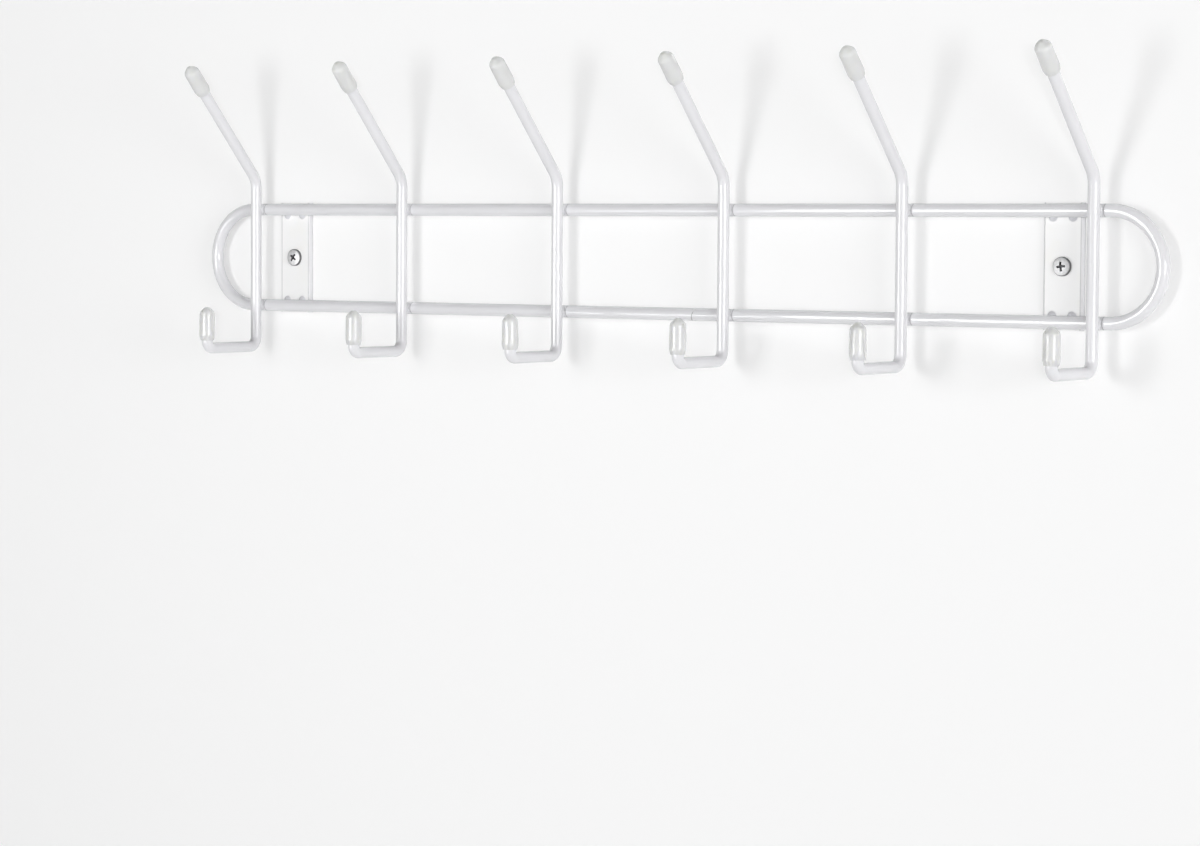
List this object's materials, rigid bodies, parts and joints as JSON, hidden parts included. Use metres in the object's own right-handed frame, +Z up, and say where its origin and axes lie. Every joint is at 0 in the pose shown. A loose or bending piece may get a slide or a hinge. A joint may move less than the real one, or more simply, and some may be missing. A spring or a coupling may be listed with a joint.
{
  "type": "wall coat rack",
  "caption": "Wall coat rack of white coated wire: a long rail loop on screwed wall plates carries a row of double hooks with plastic tip caps.",
  "frame": {"origin": "on the wall plane, midway between the two screws", "axes": "+X along the rails, to the right of a viewer who faces the rack; +Y into the wall; +Z up"},
  "size_m": [0.4938, 0.0853, 0.131],
  "materials": {
    "white_coating": "glossy white coating over steel wire and sheet",
    "cap_plastic": "milky, slightly translucent moulded plastic",
    "screw_steel": "bright zinc plated"
  },
  "bodies": {
    "root": {"rail_loop": "white_coating", "hook_1": "white_coating", "hook_2": "white_coating", "hook_3": "white_coating", "hook_4": "white_coating", "hook_5": "white_coating", "hook_6": "white_coating", "upper_cap_1": "cap_plastic", "upper_cap_2": "cap_plastic", "upper_cap_3": "cap_plastic", "upper_cap_4": "cap_plastic", "upper_cap_5": "cap_plastic", "upper_cap_6": "cap_plastic", "lower_cap_1": "cap_plastic", "lower_cap_2": "cap_plastic", "lower_cap_3": "cap_plastic", "lower_cap_4": "cap_plastic", "lower_cap_5": "cap_plastic", "lower_cap_6": "cap_plastic", "left_mounting_plate": "white_coating", "right_mounting_plate": "white_coating", "wall_screws": "screw_steel"}
  },
  "joints": []
}
